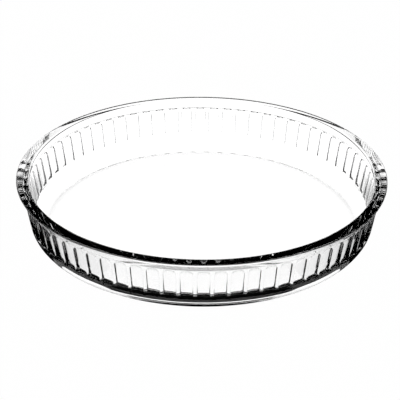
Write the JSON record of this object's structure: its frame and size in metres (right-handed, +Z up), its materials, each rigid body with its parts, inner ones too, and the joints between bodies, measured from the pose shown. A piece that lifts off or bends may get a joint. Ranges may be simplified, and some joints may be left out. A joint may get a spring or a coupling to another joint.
{
  "type": "fluted baking dish",
  "caption": "Round shallow baking dish of clear pressed glass, with a fluted leaning wall, a flat base and a flat rim with a rounded edge, for flans, quiches and tarts.",
  "frame": {"origin": "middle of the base, on the surface that the dish stands on", "axes": "+Z up along the dish's axis, -Y towards the front of the picture's view, +X to its right"},
  "size_m": [0.2798, 0.2798, 0.044],
  "materials": {
    "clear_glass": "polished"
  },
  "bodies": {
    "root": {"fluted_dish": "clear_glass"}
  },
  "joints": []
}
